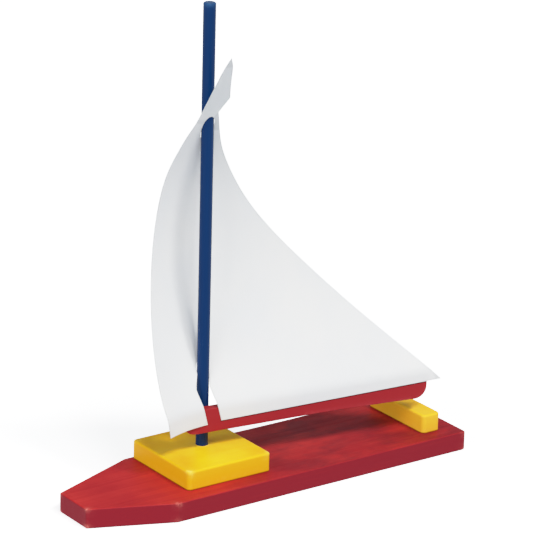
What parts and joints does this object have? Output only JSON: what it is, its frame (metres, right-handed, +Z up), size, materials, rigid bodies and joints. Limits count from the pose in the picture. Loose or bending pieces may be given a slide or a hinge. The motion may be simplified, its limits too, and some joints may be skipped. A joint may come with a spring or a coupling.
{
  "type": "toy sailing boat",
  "caption": "Painted wooden toy sailing boat with a flat hull, a dowel mast, a slat boom and one bowed sheet sail.",
  "frame": {"origin": "centre of the hull's flat underside", "axes": "+X to the bow, +Y to port, +Z up along the mast"},
  "size_m": [0.28, 0.0786, 0.3152],
  "materials": {
    "red_paint": "satin",
    "yellow_paint": "satin",
    "blue_paint": "gloss",
    "sail_sheet": "matte",
    "brad_steel": "satin"
  },
  "bodies": {
    "hull": {"hull": "red_paint", "mast_step_block": "yellow_paint", "stern_block": "yellow_paint", "step_block_nails": "brad_steel", "stern_block_nails": "brad_steel"},
    "rig": {"mast": "blue_paint", "boom": "red_paint", "boom_nails": "brad_steel", "sail": "sail_sheet"}
  },
  "joints": [
    {"name": "mast_turn", "type": "hinge", "parent": "hull", "child": "rig", "pos_m": [0.0372, -0.0087, 0.0257], "axis": [0, 0, 1], "continuous": true}
  ]
}
